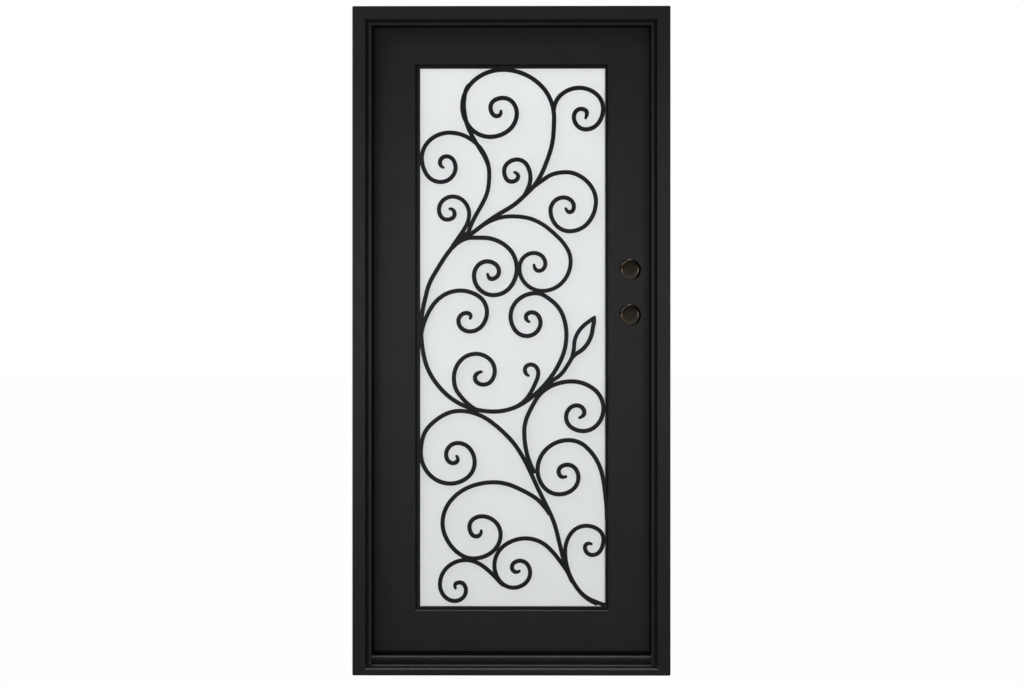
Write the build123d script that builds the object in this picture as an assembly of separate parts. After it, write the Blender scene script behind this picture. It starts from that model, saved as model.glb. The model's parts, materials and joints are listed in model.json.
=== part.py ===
from build123d import *
import cmath
import math
import os

# Wrought iron entry door, closed in its steel frame. Millimetres, +Z up, +X to the right seen from outside.
# The outside is at -Y. The origin is on the floor, in the middle of the frame's width and depth.

# Frame: depths are measured inwards from the frame's outside face
frame_width = 977.9
frame_height = 2057.4
frame_depth = 115.9
frame_corner_radius = 5.0
face_width = 40.6
face_edge_radius = 4.0
groove_width = 9.0
groove_depth = 25.0
ridge_width = 9.0
ridge_setback = 8.0
ridge_edge_radius = 1.5
jamb_thickness = 49.0
anchor_hole_diameter = 9.0
anchor_hole_setback = 90.0
anchor_end_distance = 170.0

# Threshold section
nose_height = 17.0
nose_bevel = 6.0
tread_depth = 20.0
step_height = 32.0
step_chamfer = 3.5
sill_groove_wall = 9.0
sill_groove_height = 14.5
upstand_height = 59.6
upstand_chamfer = 5.0
platform_height = 20.0

# Rubber seals behind the stops
seal_thickness = 7.0
seal_clearance = 5.1
seal_seat = 7.0
seal_lip = 7.0
sill_seal_lip = 9.5

# Leaf
leaf_thickness = 50.8
swing_gap = 5.0
leaf_bottom_height = 32.0
lock_edge_bevel = 3.0
stile_width = 139.3
top_rail_height = 124.1
bottom_rail_height = 167.1
light_edge_chamfer = 3.5
sweep_thickness = 7.0
sweep_inset = 6.0

# Glass light, from the leaf's outside face inwards: grille, lip, glass, beads
grille_recess = 6.0
bar_size = 12.7
border_left_width = 13.0
border_right_width = 7.0
border_top_width = 12.0
border_bottom_width = 11.0
lip_width = 6.5
lip_thickness = 6.0
glass_thickness = 19.0
glass_edge_gap = 3.0
bead_width = 9.0

# Lock bores and their caps
backset = 69.85
lower_bore_height = 1108.0
bore_spacing = 139.7
lock_bore_diameter = 54.0
cap_diameter = 66.0
cap_thickness = 6.0
cap_flat_diameter = 46.0

# Barrel hinges on the inside: the lower knuckle carries the pin, the upper one turns on it
hinge_height = 101.6
hinge_plate_width = 34.0
hinge_plate_thickness = 3.0
knuckle_diameter = 18.0
knuckle_clearance = 0.4
pin_diameter = 10.0
pin_clearance = 0.3
pin_length = 40.0
pivot_proud = 10.5
plate_cutback = 7.0
hinge_low_height = 250.0
hinge_top_distance = 257.4

# Grille scrolls: size of the light that they are drawn on, and how their bars are bent and pointed
drawn_light = (591.3, 1680.2)
bend_sag = 0.7
largest_flat_turn = 20.0
point_length = 18.0
point_width = 6.0
smallest_piece = 120.0

half_width = frame_width / 2
front_y = -frame_depth / 2
back_y = frame_depth / 2
stop_back = frame_depth - leaf_thickness - seal_clearance - seal_thickness
sill_groove_back = stop_back - sill_groove_wall
ridge_inner = face_width + groove_width + ridge_width
leaf_edge = half_width - jamb_thickness - swing_gap
leaf_top = frame_height - jamb_thickness - swing_gap
leaf_front = back_y - leaf_thickness
light_half = leaf_edge - stile_width
light_low = leaf_bottom_height + bottom_rail_height
light_high = leaf_top - top_rail_height
open_left = border_left_width - light_half
open_right = light_half - border_right_width
open_low = light_low + border_bottom_width
open_high = light_high - border_top_width
grille_front = leaf_front + grille_recess
grille_back = grille_front + bar_size
glass_front = grille_back + lip_thickness
glass_back = glass_front + glass_thickness
bore_x = leaf_edge - backset
bore_heights = (lower_bore_height, lower_bore_height + bore_spacing)
pivot_x = -(leaf_edge + swing_gap / 2)
hinge_top_height = frame_height - hinge_top_distance
hinge_heights = {
    "lower": hinge_low_height,
    "middle": (hinge_low_height + hinge_top_height) / 2,
    "upper": hinge_top_height,
}


def block(x_low, x_high, y_low, y_high, z_low, z_high):
    """A box given by its limits."""
    size = (x_high - x_low, y_high - y_low, z_high - z_low)
    return Pos(x_low, y_low, z_low) * Box(*size, align=(Align.MIN, Align.MIN, Align.MIN))


def ring(half_outer, low_outer, high_outer, half_inner, low_inner, high_inner, y_low, y_high):
    """A rectangular ring standing in the door's plane."""
    outer = block(-half_outer, half_outer, y_low, y_high, low_outer, high_outer)
    return outer - block(-half_inner, half_inner, y_low, y_high, low_inner, high_inner)


def mitred(whole, side, half_outer, low_outer, high_outer, half_inner, low_inner, high_inner):
    """The left, right, top or bottom member of a ring, cut at its mitres."""
    outer = [(-half_outer, low_outer), (half_outer, low_outer), (half_outer, high_outer), (-half_outer, high_outer)]
    inner = [(-half_inner, low_inner), (half_inner, low_inner), (half_inner, high_inner), (-half_inner, high_inner)]
    first = {"bottom": 0, "right": 1, "top": 2, "left": 3}[side]
    second = (first + 1) % 4
    corners = [outer[first], outer[second], inner[second], inner[first]]
    wedge = Polyline(*corners, close=True)
    face = Plane.XZ * make_face(wedge)
    cutter = extrude(face, amount=frame_depth, both=True)
    return whole & cutter


# Frame members
def frame_outline():
    """The whole frame's block, with rounded corners as seen from the front."""
    face = Pos(0, frame_height / 2) * RectangleRounded(frame_width, frame_height, frame_corner_radius)
    return extrude(Plane.XZ * face, amount=frame_depth, both=True)


def jamb_profile():
    """Section of a jamb or head: x from its outer edge to the doorway, y from the outside face inwards."""
    outline = Polyline(
        (0, 0),
        (face_width, 0),
        (face_width, groove_depth),
        (face_width + groove_width, groove_depth),
        (face_width + groove_width, ridge_setback),
        (ridge_inner, ridge_setback),
        (ridge_inner, stop_back),
        (jamb_thickness, stop_back),
        (jamb_thickness, frame_depth),
        (0, frame_depth),
        close=True,
    )
    face = make_face(outline)
    near = ridge_setback / 4
    face_corners = face.vertices().filter_by_position(Axis.Y, -near, near)
    face = fillet(face_corners, face_edge_radius)
    ridge_corners = face.vertices().filter_by_position(Axis.Y, ridge_setback - near, ridge_setback + near)
    return fillet(ridge_corners, ridge_edge_radius)


def long_jamb():
    """The left jamb before its mitre and holes, with its ridge ended on a slant over the sill's nose."""
    jamb = Pos(-half_width, front_y, 0) * extrude(jamb_profile(), amount=frame_height)
    foot = Polyline(
        (-half_width + face_width, 0),
        (-half_width + face_width, nose_height + nose_bevel),
        (-half_width + ridge_inner, step_height),
        (-half_width + ridge_inner, 0),
        close=True,
    )
    return jamb - extrude(Plane.XZ.offset(-front_y) * make_face(foot), amount=-stop_back)


def make_jambs():
    left = long_jamb()
    corner = ridge_inner
    mitre = Polyline(
        (-half_width, frame_height),
        (-half_width + corner, frame_height - corner),
        (-half_width + corner, frame_height),
        close=True,
    )
    left -= extrude(Plane.XZ * make_face(mitre), amount=frame_depth, both=True)
    hole_y = front_y + anchor_hole_setback
    for height in (anchor_end_distance, frame_height - anchor_end_distance):
        hole = Rot(0, 90, 0) * Cylinder(anchor_hole_diameter / 2, 2 * jamb_thickness)
        left -= Pos(-half_width, hole_y, height) * hole
    left &= frame_outline()
    return {"hinge_jamb": left, "strike_jamb": mirror(left, Plane.YZ)}


def make_head():
    section = Plane((-half_width, front_y, frame_height), x_dir=(0, 0, -1), z_dir=(1, 0, 0)) * jamb_profile()
    head = extrude(section, amount=frame_width)
    corner = ridge_inner
    keep = Polyline(
        (-half_width, frame_height),
        (half_width, frame_height),
        (half_width - corner, frame_height - corner),
        (-half_width + corner, frame_height - corner),
        close=True,
    )
    return head & extrude(Plane.XZ * make_face(keep), amount=frame_depth, both=True) & frame_outline()


def make_threshold():
    groove_top = step_height + sill_groove_height
    outline = Polyline(
        (0, 0),
        (0, nose_height),
        (nose_bevel, nose_height + nose_bevel),
        (tread_depth, nose_height + nose_bevel),
        (tread_depth, step_height - step_chamfer),
        (tread_depth + step_chamfer, step_height),
        (sill_groove_back, step_height),
        (sill_groove_back, groove_top),
        (groove_depth, groove_top),
        (groove_depth, upstand_height - upstand_chamfer),
        (groove_depth + upstand_chamfer, upstand_height),
        (stop_back, upstand_height),
        (stop_back, platform_height),
        (frame_depth, platform_height),
        (frame_depth, 0),
        close=True,
    )
    reach = half_width - face_width
    section = Plane((-reach, front_y, 0), x_dir=(0, 1, 0), z_dir=(1, 0, 0)) * make_face(outline)
    sill = extrude(section, amount=2 * reach)
    jamb = long_jamb()
    return sill - jamb - mirror(jamb, Plane.YZ)


def make_seals():
    outer = (
        half_width - ridge_inner + seal_seat,
        upstand_height - seal_seat,
        frame_height - ridge_inner + seal_seat,
    )
    inner = (
        half_width - ridge_inner - seal_lip,
        upstand_height + sill_seal_lip,
        frame_height - ridge_inner - seal_lip,
    )
    seal_front = front_y + stop_back
    whole = ring(*outer, *inner, seal_front, seal_front + seal_thickness)
    sides = {"hinge_side": "left", "strike_side": "right", "head": "top", "sill": "bottom"}
    return {f"seal_{name}": mitred(whole, side, *outer, *inner) for name, side in sides.items()}


# Leaf
def leaf_blank():
    blank = block(-leaf_edge, leaf_edge, leaf_front, back_y, leaf_bottom_height, leaf_top)
    bevel = leaf_thickness * math.tan(math.radians(lock_edge_bevel))
    edge = Polyline(
        (leaf_edge, back_y),
        (leaf_edge, leaf_front),
        (leaf_edge - bevel, leaf_front),
        close=True,
    )
    blank -= Pos(0, 0, leaf_bottom_height) * extrude(make_face(edge), amount=leaf_top - leaf_bottom_height)
    blank -= block(-light_half, light_half, leaf_front, grille_back, light_low, light_high)
    blank -= block(-light_half, light_half, glass_front, back_y, light_low, light_high)
    lip_half = light_half - lip_width
    blank -= block(-lip_half, lip_half, grille_back, glass_front, light_low + lip_width, light_high - lip_width)
    flare = light_half + light_edge_chamfer
    wide = Plane.XZ.offset(-leaf_front) * Pos(0, (light_low + light_high) / 2) * Rectangle(
        2 * flare, light_high - light_low + 2 * light_edge_chamfer
    )
    narrow = Plane.XZ.offset(-leaf_front - light_edge_chamfer) * Pos(0, (light_low + light_high) / 2) * Rectangle(
        2 * light_half, light_high - light_low
    )
    blank -= loft([wide, narrow])
    for height in bore_heights:
        bore = Rot(90, 0, 0) * Cylinder(lock_bore_diameter / 2, 3 * leaf_thickness)
        blank -= Pos(bore_x, leaf_front, height) * bore
    return blank


def make_leaf():
    blank = leaf_blank()
    outer = (leaf_edge, leaf_bottom_height, leaf_top)
    inner = (light_half, light_low, light_high)
    # The mitre lines run on past the light's corners, so that the lip is cut with its member
    reach = 4 * lip_width
    slope_low = bottom_rail_height / stile_width
    slope_high = top_rail_height / stile_width
    inner = (light_half - reach, light_low + reach * slope_low, light_high - reach * slope_high)
    names = {"hinge_stile": "left", "lock_stile": "right", "top_rail": "top", "bottom_rail": "bottom"}
    return {name: mitred(blank, side, *outer, *inner) for name, side in names.items()}


def make_glass():
    half = light_half - glass_edge_gap
    return block(-half, half, glass_front, glass_back, light_low + glass_edge_gap, light_high - glass_edge_gap)


def make_beads():
    outer = (light_half, light_low, light_high)
    inner = (light_half - bead_width, light_low + bead_width, light_high - bead_width)
    whole = ring(*outer, *inner, glass_back, back_y)
    return {f"glazing_bead_{side}": mitred(whole, side, *outer, *inner) for side in ("left", "right", "top", "bottom")}


def make_sweep():
    half = leaf_edge - sweep_inset
    low = leaf_bottom_height - sweep_thickness
    return block(-half, half, leaf_front + sweep_inset, back_y - sweep_inset, low, leaf_bottom_height)


def make_caps():
    """Two round caps with bevelled rims on each side of the leaf, over the lock bores."""
    cap = Cone(cap_diameter / 2, cap_flat_diameter / 2, cap_thickness, align=(Align.CENTER, Align.CENTER, Align.MIN))
    outside = [Pos(bore_x, leaf_front, height) * Rot(90, 0, 0) * cap for height in bore_heights]
    inside = [Pos(bore_x, back_y, height) * Rot(-90, 0, 0) * cap for height in bore_heights]
    return {"lock_bore_caps_outside": Compound(outside), "lock_bore_caps_inside": Compound(inside)}


# Hinges
def make_hinges():
    half = hinge_height / 2
    seat = (Align.CENTER, Align.CENTER, Align.MIN)
    axis = Pos(0, pivot_proud, 0)
    low_knuckle = axis * Cylinder(knuckle_diameter / 2, half - knuckle_clearance, align=seat)
    high_knuckle = axis * Pos(0, 0, half) * Cylinder(knuckle_diameter / 2, half, align=seat)
    pin = axis * Cylinder(pin_diameter / 2, half + pin_length, align=seat)
    bore = axis * Cylinder(pin_diameter / 2 + pin_clearance, half + pin_length + pin_clearance, align=seat)
    low_band = (0, half - knuckle_clearance)
    high_band = (half, hinge_height)
    frame_plate = block(-hinge_plate_width, -plate_cutback, 0, hinge_plate_thickness, 0, hinge_height)
    frame_plate += block(-hinge_plate_width, 0, 0, hinge_plate_thickness, *low_band)
    leaf_plate = block(plate_cutback, hinge_plate_width, 0, hinge_plate_thickness, 0, hinge_height)
    leaf_plate += block(0, hinge_plate_width, 0, hinge_plate_thickness, *high_band)
    frame_half = frame_plate + low_knuckle + pin
    leaf_half = leaf_plate + high_knuckle - bore
    parts = {}
    for name, height in hinge_heights.items():
        place = Pos(pivot_x, back_y, height - half)
        parts[f"hinge_{name}_frame"] = place * frame_half
        parts[f"hinge_{name}_leaf"] = place * leaf_half
    return parts


# Grille
# Every scroll bar is a chain of places (across, up, heading) on the light as drawn, from its lower left corner.
# A heading of 0 runs to the right and 90 upwards. The last place is the bar's point, or where it joins.
# Two arcs lead from each place to the next, laid out in short flats so that the fused lattice stays light.
scroll_bars = {
    "scrolls_top_right": {
        "tall_scroll": [
            (160, 1152, 34), (240, 1210, 33), (320, 1263, 43), (378, 1327, 60), (413, 1410, 72),
            (426, 1517, 90), (268, 1665, 180), (143, 1552, 270), (229, 1458, 0), (311, 1531, 90),
            (268, 1578, 180), (230, 1549, 270), (250, 1522, 0), (262, 1538, 100),
        ],
        "corner_scroll": [
            (425, 1539, 88), (504, 1609, 0), (577, 1544, 270), (524, 1481, 180), (487, 1519, 90),
            (509, 1544, 0), (527, 1531, 270), (523, 1516, 240),
        ],
        "small_scroll": [
            (335, 1278, 60), (353, 1333, 90), (312, 1388, 180), (272, 1352, 270), (295, 1320, 0),
            (315, 1336, 90), (304, 1349, 160),
        ],
        "side_scroll": [
            (351, 1293, 46), (403, 1333, 35), (460, 1349, 2), (527, 1321, 316), (555, 1259, 270),
            (474, 1167, 180), (415, 1231, 90), (455, 1271, 0), (487, 1243, 270), (474, 1226, 180),
            (462, 1237, 110),
        ],
    },
    "scrolls_top_left": {
        "left_scroll": [
            (154, 1149, 60), (175, 1198, 64), (214, 1271, 66), (226, 1343, 90), (103, 1471, 180),
            (18, 1392, 270), (76, 1319, 0), (122, 1364, 90), (94, 1398, 180), (74, 1379, 270),
            (84, 1364, 340),
        ],
        "link_bar": [
            (209, 1401, 125), (170, 1467, 118), (146, 1540, 100),
        ],
        "low_curl": [
            (112, 1121, 50), (142, 1163, 54), (164, 1220, 90), (113, 1274, 180), (71, 1233, 270),
            (96, 1203, 0), (119, 1220, 90), (104, 1236, 190),
        ],
    },
    "scrolls_upper_middle": {
        "right_scroll": [
            (209, 1187, 34), (295, 1213, 0), (366, 1201, 337), (442, 1145, 315), (477, 1074, 270),
            (390, 983, 180), (319, 1053, 90), (364, 1100, 0), (399, 1067, 270), (379, 1045, 180),
            (364, 1063, 95),
        ],
        "centre_scroll": [
            (111, 1115, 50), (145, 1141, 25), (206, 1147, 0), (311, 1052, 270), (239, 970, 180),
            (179, 1030, 90), (220, 1074, 0), (256, 1043, 270), (233, 1020, 180), (221, 1035, 100),
        ],
        "side_stem": [
            (15, 846, 90), (23, 937, 78), (52, 1027, 60), (109, 1114, 51), (154, 1164, 45),
        ],
    },
    "scrolls_middle": {
        "great_scroll": [
            (16, 862, 270), (59, 703, 306), (95, 663, 318), (240, 611, 0), (410, 709, 52),
            (464, 847, 90), (423, 949, 140), (369, 976, 180), (292, 904, 270), (342, 844, 0),
            (384, 886, 90), (357, 917, 180), (339, 902, 270), (349, 888, 340),
        ],
        "left_scroll": [
            (15, 832, 89), (32, 903, 66), (62, 951, 47), (137, 984, 0), (219, 918, 270),
            (166, 858, 180), (131, 890, 90), (156, 915, 0), (169, 905, 270), (167, 898, 250),
        ],
        "inner_left_scroll": [
            (185, 617, 150), (129, 670, 125), (117, 715, 90), (185, 789, 0), (243, 736, 270),
            (208, 694, 180), (182, 715, 90), (202, 734, 10),
        ],
        "inner_right_curl": [
            (295, 620, 20), (341, 651, 50), (363, 687, 65), (377, 731, 90), (354, 756, 180),
            (336, 740, 270), (347, 722, 340),
        ],
    },
    "leaf_bud": {
        "stem": [
            (412, 700, 40), (447, 726, 45), (471, 759, 58), (483, 781, 62),
        ],
        "left_edge": [
            (481, 777, 75), (488, 817, 88), (506, 864, 52), (551, 903, 42),
        ],
        "right_edge": [
            (481, 777, 50), (520, 809, 48), (544, 860, 82), (551, 903, 85),
        ],
    },
    "scrolls_lower_right": {
        "upper_scroll": [
            (366, 420, 115), (343, 478, 104), (334, 549, 90), (369, 646, 59), (480, 704, 0),
            (578, 620, 270), (515, 551, 180), (463, 594, 90), (496, 630, 0), (519, 608, 270),
            (504, 592, 200),
        ],
        "lower_scroll": [
            (589, 278, 90), (580, 386, 98), (559, 458, 118), (471, 523, 180), (375, 431, 270),
            (442, 356, 0), (501, 408, 90), (467, 447, 180), (440, 426, 270), (454, 409, 0),
            (463, 411, 30),
        ],
    },
    "scrolls_lower_left": {
        "long_scroll": [
            (483, 85, 118), (461, 136, 108), (433, 245, 105), (376, 374, 115), (320, 487, 122),
            (232, 579, 143), (136, 613, 180), (44, 565, 226), (15, 484, 270), (106, 389, 0),
            (181, 455, 90), (129, 514, 180), (93, 478, 270), (115, 452, 0), (129, 464, 90),
            (125, 474, 130),
        ],
        "round_scroll": [
            (412, 294, 118), (383, 332, 134), (351, 356, 150), (240, 393, 180), (108, 337, 230),
            (82, 268, 270), (113, 191, 311), (177, 158, 0), (261, 232, 90), (203, 288, 180),
            (165, 256, 270), (186, 226, 0), (201, 244, 100),
        ],
    },
    "scrolls_bottom": {
        "centre_scroll": [
            (560, 18, 160), (510, 51, 133), (454, 137, 126), (406, 194, 138), (338, 220, 180),
            (242, 137, 270), (301, 68, 0), (352, 115, 90), (321, 151, 180), (296, 131, 270),
            (311, 116, 0), (319, 120, 40),
        ],
        "left_scroll": [
            (271, 75, 142), (231, 114, 137), (214, 129, 141), (153, 153, 180), (74, 78, 270),
            (120, 27, 0), (154, 60, 90), (135, 84, 180), (120, 74, 270), (122, 66, 300),
        ],
        "right_scroll": [
            (584, 14, 162), (506, 56, 131), (460, 180, 90), (525, 259, 0), (578, 217, 270),
            (544, 169, 180), (521, 192, 90), (534, 205, 0), (541, 203, 340),
        ],
    },
}
joining_bars = ("link_bar", "side_stem", "stem")


def middle_of_bend(start, start_way, end, end_way):
    """Where the two arcs of a bend meet, when both have tangents of one length."""
    chord = end - start
    along = (chord * (start_way + end_way).conjugate()).real
    spread = 2 - 2 * (start_way * end_way.conjugate()).real
    if spread < 1e-9:
        tangent = abs(chord) ** 2 / (2 * along)
    else:
        tangent = (math.sqrt(along**2 + spread * abs(chord) ** 2) - along) / spread
    return (start + end + tangent * (start_way - end_way)) / 2


def arc_flats(start, way, end):
    """Places and ways on the arc that leaves start along way and ends at end, one for each flat."""
    turn = 2 * cmath.phase((end - start) / way)
    if abs(turn) < 1e-6:
        return [(end, way)]
    radius = abs(end - start) / (2 * math.sin(turn / 2))
    flat_turn = min(math.radians(largest_flat_turn), math.sqrt(8 * bend_sag / abs(radius)))
    flats = max(1, math.ceil(abs(turn) / flat_turn - 0.01))
    turns = [cmath.exp(1j * turn * step / flats) for step in range(1, flats + 1)]
    return [(start + way * radius * (turned - 1) / 1j, way * turned) for turned in turns]


def bar_line(places):
    """Centre line of a bar as places and ways, from its chain of places."""
    across = 2 * light_half / drawn_light[0]
    up = (light_high - light_low) / drawn_light[1]
    corner = complex(-light_half, light_low)
    spots = [(corner + complex(x * across, z * up), cmath.exp(1j * math.radians(way))) for x, z, way in places]
    line = [spots[0]]
    for (start, start_way), (end, end_way) in zip(spots, spots[1:]):
        middle = middle_of_bend(start, start_way, end, end_way)
        line += arc_flats(start, start_way, middle)
        line += arc_flats(middle, line[-1][1], end)
    return line


def bar_face(places, pointed):
    """Outline of a bar seen from the front, narrowed to its point."""
    line = bar_line(places)
    left = []
    right = []
    to_end = 0.0
    after = line[-1][0]
    for place, way in reversed(line):
        to_end += abs(after - place)
        after = place
        width = bar_size
        if pointed:
            width = min(bar_size, point_width + (bar_size - point_width) * to_end / point_length)
        left.append(place + 1j * way * width / 2)
        right.append(place - 1j * way * width / 2)
    outline = [(spot.real, spot.imag) for spot in left + right[::-1]]
    return make_face(Polyline(*outline, close=True))


def make_border():
    border = block(-light_half, light_half, grille_front, grille_back, light_low, light_high)
    return border - block(open_left, open_right, grille_front, grille_back, open_low, open_high)


def make_scrolls():
    """The scrolls, fused group by group; each group is cut where it meets the border or an earlier group."""
    middle = Pos((open_left + open_right) / 2, (open_low + open_high) / 2)
    free = middle * Rectangle(open_right - open_left, open_high - open_low)
    parts = {}
    for node, bars in scroll_bars.items():
        faces = [bar_face(places, name not in joining_bars) for name, places in bars.items()]
        fused = faces[0]
        for face in faces[1:]:
            fused += face
        pieces = [face for face in (fused & free).faces() if face.area > smallest_piece]
        free -= fused
        solids = [extrude(Plane.XZ.offset(-grille_back) * piece, amount=bar_size) for piece in pieces]
        parts[node] = solids[0] if len(solids) == 1 else Compound(solids)
    return parts


def make_door():
    parts = {}
    parts.update(make_jambs())
    parts["head_jamb"] = make_head()
    parts["threshold"] = make_threshold()
    parts.update(make_seals())
    parts.update(make_leaf())
    parts["glass_pane"] = make_glass()
    parts.update(make_beads())
    parts["door_sweep"] = make_sweep()
    parts.update(make_caps())
    parts.update(make_hinges())
    parts["grille_border"] = make_border()
    parts.update(make_scrolls())
    return parts


os.makedirs("parts", exist_ok=True)
for node, shape in make_door().items():
    export_step(shape, f"parts/{node}.step")
    print(node, round(shape.volume / 1e6, 4), "litres")
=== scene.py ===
import json
import math

import bmesh
import bpy
import numpy as np
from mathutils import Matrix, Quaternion, Vector

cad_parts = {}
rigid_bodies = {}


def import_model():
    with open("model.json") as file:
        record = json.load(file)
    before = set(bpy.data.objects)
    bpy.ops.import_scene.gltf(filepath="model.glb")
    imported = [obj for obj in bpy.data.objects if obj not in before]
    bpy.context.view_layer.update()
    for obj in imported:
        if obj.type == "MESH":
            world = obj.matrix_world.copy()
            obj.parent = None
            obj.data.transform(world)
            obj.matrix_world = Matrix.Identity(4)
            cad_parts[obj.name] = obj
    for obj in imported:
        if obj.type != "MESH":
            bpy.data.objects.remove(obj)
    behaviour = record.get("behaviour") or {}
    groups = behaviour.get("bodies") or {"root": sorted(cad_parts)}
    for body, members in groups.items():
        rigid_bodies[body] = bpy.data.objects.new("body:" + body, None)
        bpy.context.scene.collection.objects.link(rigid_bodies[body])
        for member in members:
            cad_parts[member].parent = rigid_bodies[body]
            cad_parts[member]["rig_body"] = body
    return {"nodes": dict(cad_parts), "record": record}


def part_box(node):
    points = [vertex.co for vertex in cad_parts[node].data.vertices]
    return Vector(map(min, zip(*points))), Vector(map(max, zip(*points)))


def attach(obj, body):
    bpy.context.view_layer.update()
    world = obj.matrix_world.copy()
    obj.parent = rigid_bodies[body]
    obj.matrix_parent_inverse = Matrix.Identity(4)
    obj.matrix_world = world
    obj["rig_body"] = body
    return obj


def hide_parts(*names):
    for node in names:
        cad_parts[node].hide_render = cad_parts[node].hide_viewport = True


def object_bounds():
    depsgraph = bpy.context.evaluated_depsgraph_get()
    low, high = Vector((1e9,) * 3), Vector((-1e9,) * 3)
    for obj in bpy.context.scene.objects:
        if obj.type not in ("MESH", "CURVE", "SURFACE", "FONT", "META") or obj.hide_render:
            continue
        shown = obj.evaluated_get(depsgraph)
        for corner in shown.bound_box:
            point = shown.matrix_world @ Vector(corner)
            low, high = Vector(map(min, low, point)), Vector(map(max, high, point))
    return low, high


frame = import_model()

# Wrought iron entry door in its steel frame: the finishes, finer pieces, light and camera.
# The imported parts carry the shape. Lengths below are metres unless a name says millimetres.

cadLow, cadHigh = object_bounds()
mm = 0.001


def linearFromHex(hexColour):
    # sRGB to linear: c / 12.92 for the darkest channels, ((c + 0.055) / 1.055) to the power 2.4 above them
    channels = [int(hexColour[i:i + 2], 16) / 255 for i in (1, 3, 5)]
    return tuple(c / 12.92 if c <= 0.04045 else ((c + 0.055) / 1.055) ** 2.4 for c in channels) + (1.0,)


def addNode(owner, kind, settings=None, links=None):
    # one shader node: settings are its attributes or socket values, links its inputs from (node, output)
    node = owner.node_tree.nodes.new(kind)
    for name, value in (settings or {}).items():
        if isinstance(name, int) or name in node.inputs:
            node.inputs[name].default_value = value
        else:
            setattr(node, name, value)
    for name, (source, output) in (links or {}).items():
        owner.node_tree.links.new(source.outputs[output], node.inputs[name])
    return node


# a noise pattern stays near its middle, so these parts of its range are stretched over the whole
patchRange = {"From Min": 0.35, "From Max": 0.65}
grainRange = {"From Min": 0.3, "From Max": 0.7}


def newMaterial(name):
    material = bpy.data.materials.new(name)
    material.use_nodes = True
    material.node_tree.nodes.clear()
    return material


# Satin black powder coat over welded steel: baked resin flows into a faint orange peel,
# which breaks up its soft highlights, and thick and thin patches change its black a little
powderCoat = {
    "colour": "#29292a",
    "patch": "#252526",
    "roughness": 0.40,
    "roughnessSpread": 0.05,
    "specular": 0.18,
    "peelMillimetres": 1.6,
    "peelHeightMillimetres": 0.05,
    "peelStrength": 0.25,
    "patchMillimetres": 90.0,
}

# The grille's coat is a darker, cooler copy of the frame's black, which is painted shade, so that its bars
# stay dark against the pale glass; it is also duller
shadedBarCoat = dict(powderCoat, colour="#26282a", patch="#222426", specular=0.1)


def makePowderCoat(name, look):
    material = newMaterial(name)
    place = addNode(material, "ShaderNodeTexCoord")
    peel = addNode(material, "ShaderNodeTexNoise",
                   {"Scale": 1 / (look["peelMillimetres"] * mm), "Detail": 2.0},
                   {"Vector": (place, "Object")})
    patch = addNode(material, "ShaderNodeTexNoise",
                    {"Scale": 1 / (look["patchMillimetres"] * mm), "Detail": 3.0},
                    {"Vector": (place, "Object")})
    share = addNode(material, "ShaderNodeMapRange", patchRange, {"Value": (patch, "Fac")})
    colour = addNode(material, "ShaderNodeMix",
                     {"data_type": "RGBA", 6: linearFromHex(look["patch"]), 7: linearFromHex(look["colour"])},
                     {0: (share, "Result")})
    rough = addNode(material, "ShaderNodeMapRange",
                    {**grainRange, "To Min": look["roughness"] - look["roughnessSpread"],
                     "To Max": look["roughness"] + look["roughnessSpread"]}, {"Value": (peel, "Fac")})
    bump = addNode(material, "ShaderNodeBump",
                   {"Strength": look["peelStrength"], "Distance": look["peelHeightMillimetres"] * mm},
                   {"Height": (peel, "Fac")})
    shader = addNode(material, "ShaderNodeBsdfPrincipled", {"Specular IOR Level": look["specular"]},
                     {"Base Color": (colour, 2), "Roughness": (rough, "Result"), "Normal": (bump, "Normal")})
    addNode(material, "ShaderNodeOutputMaterial", links={"Surface": (shader, 0)})
    return material


# Acid-etched float glass: the bitten face scatters light, so the pane is a pale even haze with no clear view
etchedGlass = {
    "colour": "#f6f8f9",
    "roughness": 0.42,
    "roughnessSpread": 0.05,
    "transmission": 0.8,
    "ior": 1.52,
    "grainMillimetres": 0.8,
    "grainHeightMillimetres": 0.02,
    "grainStrength": 0.15,
}


def makeEtchedGlass(name, look):
    material = newMaterial(name)
    place = addNode(material, "ShaderNodeTexCoord")
    grain = addNode(material, "ShaderNodeTexNoise",
                    {"Scale": 1 / (look["grainMillimetres"] * mm), "Detail": 2.0},
                    {"Vector": (place, "Object")})
    bump = addNode(material, "ShaderNodeBump",
                   {"Strength": look["grainStrength"], "Distance": look["grainHeightMillimetres"] * mm},
                   {"Height": (grain, "Fac")})
    rough = addNode(material, "ShaderNodeMapRange",
                    {**grainRange, "To Min": look["roughness"] - look["roughnessSpread"],
                     "To Max": look["roughness"] + look["roughnessSpread"]}, {"Value": (grain, "Fac")})
    shader = addNode(material, "ShaderNodeBsdfPrincipled",
                     {"Base Color": linearFromHex(look["colour"]), "IOR": look["ior"],
                      "Transmission Weight": look["transmission"]},
                     {"Roughness": (rough, "Result"), "Normal": (bump, "Normal")})
    addNode(material, "ShaderNodeOutputMaterial", links={"Surface": (shader, 0)})
    return material


# Oil-rubbed bronze: brown metal darkened by hand and lacquered, so its flat is a little cloudy and its bevel
# catches a clear white glint of the key light
oilRubbedBronze = {
    "colour": "#282014",
    "cloud": "#241c12",
    "roughness": 0.32,
    "roughnessSpread": 0.03,
    "lacquer": 0.5,
    "lacquerRoughness": 0.14,
    "cloudMillimetres": 14.0,
}


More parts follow.
